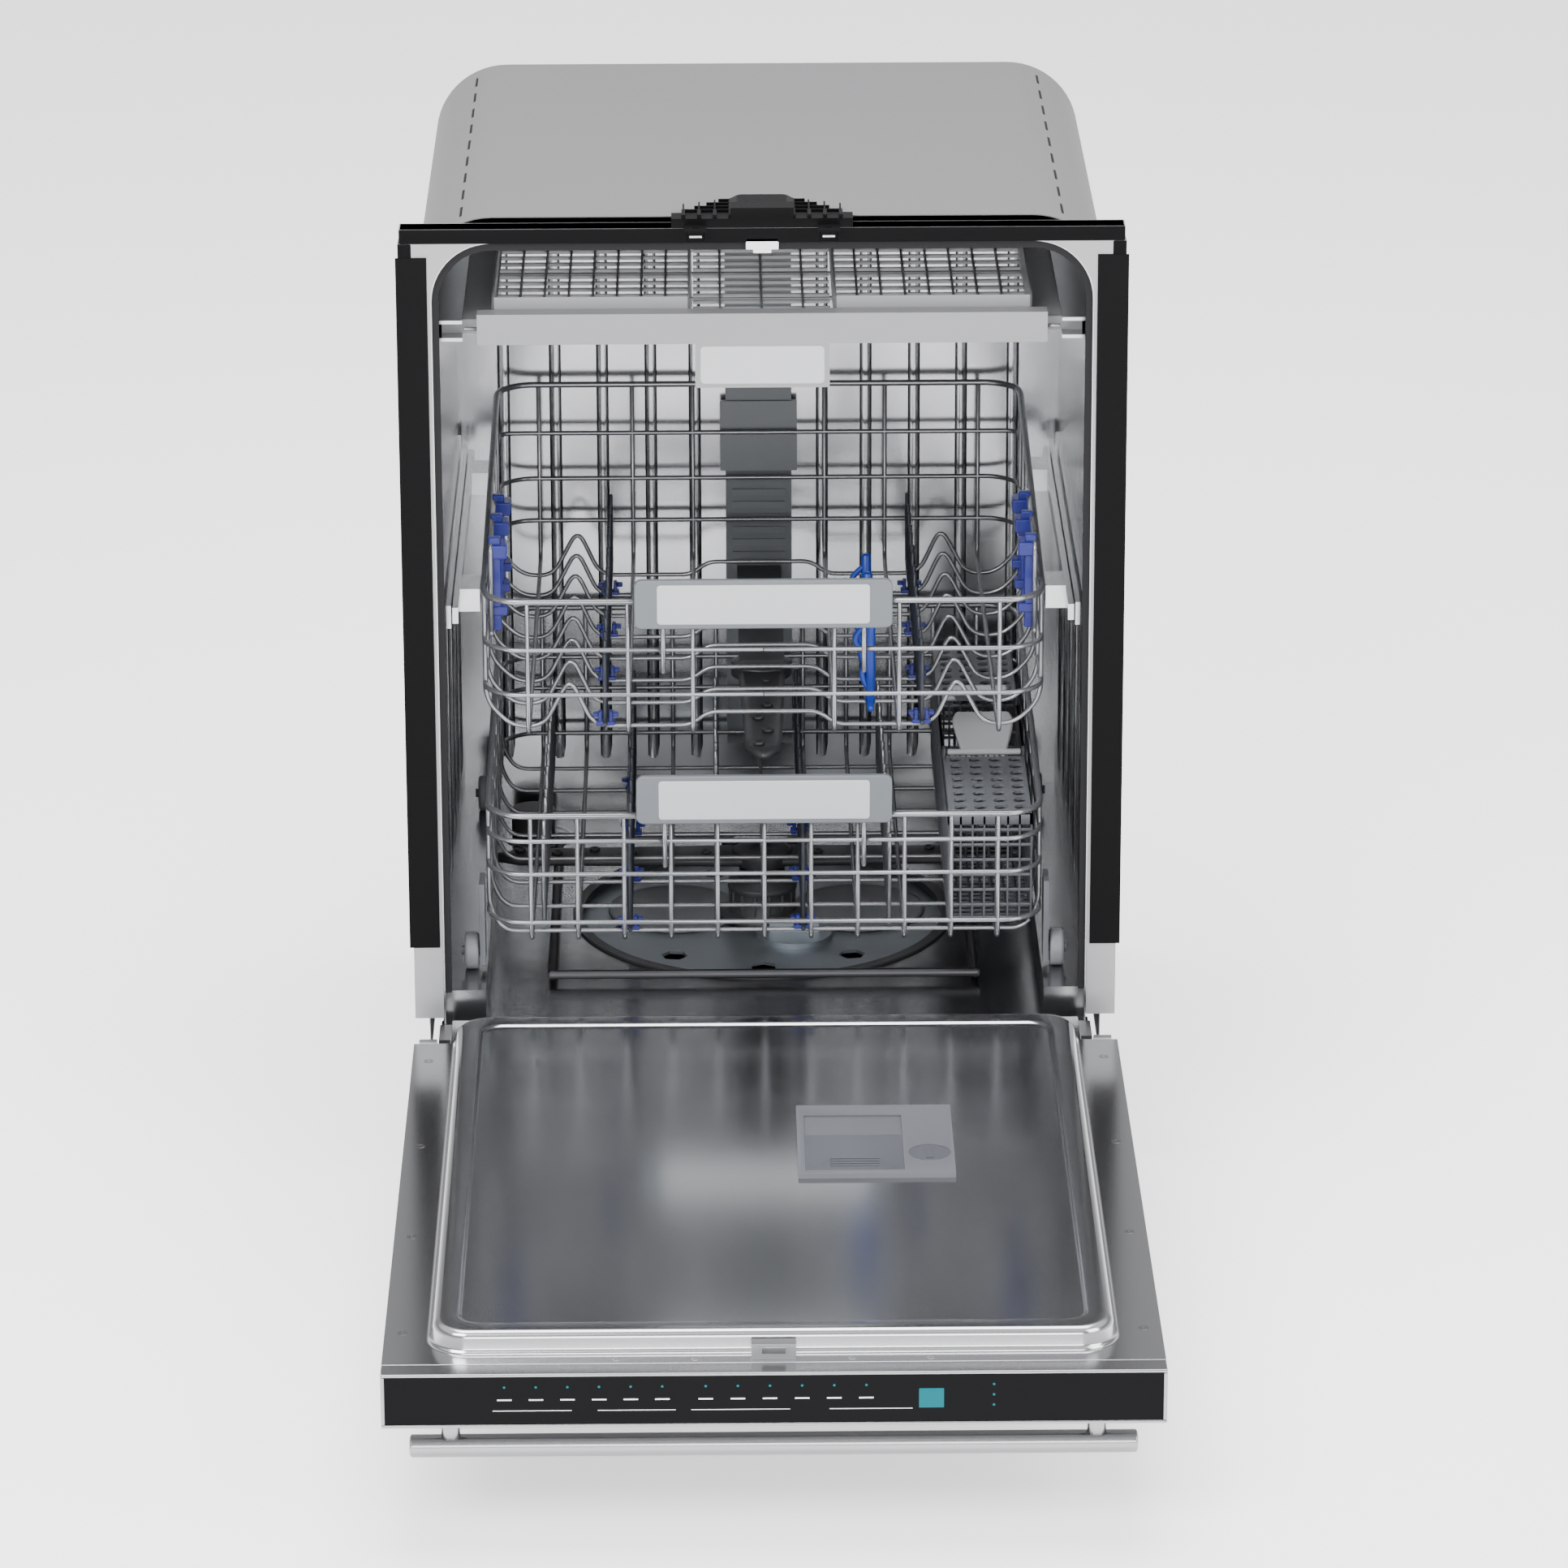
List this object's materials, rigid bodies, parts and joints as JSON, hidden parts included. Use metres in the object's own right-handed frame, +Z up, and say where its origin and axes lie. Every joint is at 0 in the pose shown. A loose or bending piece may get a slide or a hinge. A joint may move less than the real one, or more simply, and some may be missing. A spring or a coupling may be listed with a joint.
{
  "type": "built in dishwasher",
  "caption": "Under-counter dishwasher with a let-down door, sliding wire racks, a cutlery rack, spray arms and a stainless tub.",
  "frame": {"origin": "centre of the footprint, door let down and racks in, on the floor", "axes": "+X to the viewer's right, +Y to the back, +Z up; the door opens towards -Y"},
  "size_m": [0.6066, 1.293, 0.862],
  "materials": {
    "tub_steel": "bright brushed stainless sheet",
    "wrap_grey": "matte grey outer wrap",
    "frame_steel": "brushed steel frame",
    "black_plastic": "satin black moulding",
    "strip_black": "satin black strip",
    "gasket": "soft matte seal",
    "bracket_steel": "zinc grey steel",
    "foot": "dark moulded foot",
    "sump_grey": "dark grey moulding",
    "filter_mesh": "fine mesh sheet",
    "heater": "dull heated tube",
    "pump_body": "moulded pump casing",
    "valve_white": "white moulding",
    "duct": "light grey duct",
    "arm": "satin dark grey arm",
    "rail": "polished rail",
    "door_skin": "brushed stainless front",
    "panel_glass": "gloss black touch strip",
    "handle_steel": "satin tube",
    "dispenser": "grey moulding",
    "dispenser_lid": "dark grey lid",
    "rack_wire": "satin grey coated wire",
    "tine_dark": "dark slate coated wire",
    "grip": "grey blue handle plate",
    "wheel": "hard grey wheel",
    "carrier": "grey moulding",
    "basket_grey": "mid grey basket",
    "basket_light": "lighter grey lid and handle",
    "blue": "deep blue moulding",
    "third_grey": "light grey moulding"
  },
  "bodies": {
    "cabinet": {"base_pan": "bracket_steel", "feet": "foot", "tub_shell": "tub_steel", "tub_jacket": "wrap_grey", "front_collar": "frame_steel", "side_strips": "strip_black", "door_gasket": "gasket", "latch_bridge": "black_plastic", "hinge_brackets": "bracket_steel", "toe_kick": "black_plastic", "sump_housing": "sump_grey", "filter_plate": "filter_mesh", "heating_element": "heater", "pumps": "pump_body", "inlet_valve": "valve_white", "terminal_box": "bracket_steel", "supply_duct": "duct", "fixed_rails": "rail"},
    "coarse_filter": {"coarse_filter": "filter_mesh"},
    "top_rotor": {"top_rotor": "arm"},
    "lower_arm": {"lower_arm": "arm"},
    "float_cap": {"float_cap": "sump_grey"},
    "door": {"outer_panel": "door_skin", "inner_liner": "tub_steel", "liner_screws": "handle_steel", "control_panel": "panel_glass", "door_handle": "handle_steel", "door_latch": "bracket_steel", "hinge_arms": "bracket_steel", "dispenser_body": "dispenser"},
    "dispenser_lid": {"dispenser_lid": "dispenser_lid"},
    "rinse_cap": {"rinse_cap": "dispenser_lid"},
    "lower_rack": {"lower_floor": "rack_wire", "lower_walls": "rack_wire", "lower_fixed_tines": "rack_wire", "lower_handle": "grip", "wheel_carriers": "carrier", "basket": "basket_grey"},
    "wheels_front": {"wheels_front": "wheel"},
    "wheels_rear": {"wheels_rear": "wheel"},
    "lower_tines_left": {"lower_tines_left": "tine_dark"},
    "lower_tines_right": {"lower_tines_right": "tine_dark"},
    "basket_lid_front": {"basket_lid_front": "basket_light"},
    "basket_lid_rear": {"basket_lid_rear": "basket_light"},
    "basket_handle_front": {"basket_handle_front": "basket_light"},
    "basket_handle_rear": {"basket_handle_rear": "basket_light"},
    "upper_rack": {"upper_floor": "rack_wire", "upper_walls": "rack_wire", "upper_handle": "grip", "upper_rails": "rail", "feed_tube": "arm"},
    "rail_middles": {"rail_middles": "rail"},
    "middle_arm": {"middle_arm": "arm"},
    "upper_tines_left": {"upper_tines_left": "tine_dark"},
    "upper_tines_right": {"upper_tines_right": "tine_dark"},
    "cup_shelf_left": {"cup_shelf_left": "blue"},
    "cup_shelf_right": {"cup_shelf_right": "blue"},
    "stem_holder": {"stem_holder": "blue"},
    "third_rack": {"third_frame": "third_grey", "third_trays": "third_grey"}
  },
  "joints": [
    {"name": "door_hinge", "type": "hinge", "parent": "cabinet", "child": "door", "pos_m": [0, 0.0725, 0.126], "axis": [1, 0, 0], "range_deg": [-90, 0]},
    {"name": "lower_rack_slide", "type": "slide", "parent": "cabinet", "child": "lower_rack", "axis": [0, -1, 0], "range_m": [0, 0.62]},
    {"name": "upper_rack_slide", "type": "slide", "parent": "cabinet", "child": "upper_rack", "axis": [0, -1, 0], "range_m": [0, 0.42]},
    {"name": "third_rack_slide", "type": "slide", "parent": "cabinet", "child": "third_rack", "axis": [0, -1, 0], "range_m": [0, 0.4]},
    {"name": "rail_middles_slide", "type": "slide", "parent": "cabinet", "child": "rail_middles", "axis": [0, -1, 0], "range_m": [0, 0.21]},
    {"name": "lower_arm_spin", "type": "hinge", "parent": "cabinet", "child": "lower_arm", "pos_m": [0, 0.3945, 0.185], "axis": [0, 0, 1], "continuous": true},
    {"name": "middle_arm_spin", "type": "hinge", "parent": "upper_rack", "child": "middle_arm", "pos_m": [0, 0.3745, 0.369], "axis": [0, 0, 1], "continuous": true},
    {"name": "top_rotor_spin", "type": "hinge", "parent": "cabinet", "child": "top_rotor", "pos_m": [0, 0.3945, 0.803], "axis": [0, 0, 1], "continuous": true},
    {"name": "coarse_filter_twist", "type": "hinge", "parent": "cabinet", "child": "coarse_filter", "pos_m": [0.028, 0.3465, 0.127], "axis": [0, 0, 1], "range_deg": [0, 90]},
    {"name": "float_lift", "type": "slide", "parent": "cabinet", "child": "float_cap", "axis": [0, 0, 1], "range_m": [0, 0.009]},
    {"name": "dispenser_lid_slide", "type": "slide", "parent": "door", "child": "dispenser_lid", "axis": [0, 1, 0], "range_m": [0, 0.042]},
    {"name": "rinse_cap_turn", "type": "hinge", "parent": "door", "child": "rinse_cap", "pos_m": [0.13, -0.2565, 0.163], "axis": [0, 0, 1], "range_deg": [0, 90]},
    {"name": "wheels_front_roll", "type": "hinge", "parent": "lower_rack", "child": "wheels_front", "pos_m": [0, 0.1695, 0.1812], "axis": [1, 0, 0], "continuous": true},
    {"name": "wheels_rear_roll", "type": "hinge", "parent": "lower_rack", "child": "wheels_rear", "pos_m": [0, 0.5745, 0.1812], "axis": [1, 0, 0], "continuous": true},
    {"name": "lower_tines_left_fold", "type": "hinge", "parent": "lower_rack", "child": "lower_tines_left", "pos_m": [-0.1155, 0.3645, 0.2092], "axis": [0, 1, 0], "range_deg": [0, 78]},
    {"name": "lower_tines_right_fold", "type": "hinge", "parent": "lower_rack", "child": "lower_tines_right", "pos_m": [0.0335, 0.3645, 0.2092], "axis": [0, 1, 0], "range_deg": [0, 78]},
    {"name": "basket_lid_front_hinge", "type": "hinge", "parent": "lower_rack", "child": "basket_lid_front", "pos_m": [0.1602, 0.2245, 0.3102], "axis": [0, -1, 0], "range_deg": [0, 90]},
    {"name": "basket_lid_rear_hinge", "type": "hinge", "parent": "lower_rack", "child": "basket_lid_rear", "pos_m": [0.1602, 0.5245, 0.3102], "axis": [0, -1, 0], "range_deg": [0, 90]},
    {"name": "basket_handle_front_swing", "type": "hinge", "parent": "lower_rack", "child": "basket_handle_front", "pos_m": [0.1945, 0.30117, 0.314], "axis": [1, 0, 0], "range_deg": [0, 60]},
    {"name": "basket_handle_rear_swing", "type": "hinge", "parent": "lower_rack", "child": "basket_handle_rear", "pos_m": [0.1945, 0.44783, 0.314], "axis": [-1, 0, 0], "range_deg": [0, 60]},
    {"name": "upper_tines_left_fold", "type": "hinge", "parent": "upper_rack", "child": "upper_tines_left", "pos_m": [-0.135, 0.3645, 0.3962], "axis": [0, -1, 0], "range_deg": [0, 78]},
    {"name": "upper_tines_right_fold", "type": "hinge", "parent": "upper_rack", "child": "upper_tines_right", "pos_m": [0.135, 0.3645, 0.3962], "axis": [0, 1, 0], "range_deg": [0, 78]},
    {"name": "cup_shelf_left_fold", "type": "hinge", "parent": "upper_rack", "child": "cup_shelf_left", "pos_m": [-0.231, 0.2395, 0.474], "axis": [0, 1, 0], "range_deg": [0, 85]},
    {"name": "cup_shelf_right_fold", "type": "hinge", "parent": "upper_rack", "child": "cup_shelf_right", "pos_m": [0.231, 0.2395, 0.474], "axis": [0, -1, 0], "range_deg": [0, 85]},
    {"name": "stem_holder_fold", "type": "hinge", "parent": "upper_rack", "child": "stem_holder", "pos_m": [0.092, 0.2655, 0.3974], "axis": [0, -1, 0], "range_deg": [0, 78]}
  ],
  "couplings": [
    {"joint": "rail_middles_slide", "follows": "upper_rack_slide", "ratio": 0.5},
    {"joint": "wheels_front_roll", "follows": "lower_rack_slide", "rad_per_m": 62.5},
    {"joint": "wheels_rear_roll", "follows": "lower_rack_slide", "rad_per_m": 62.5}
  ]
}
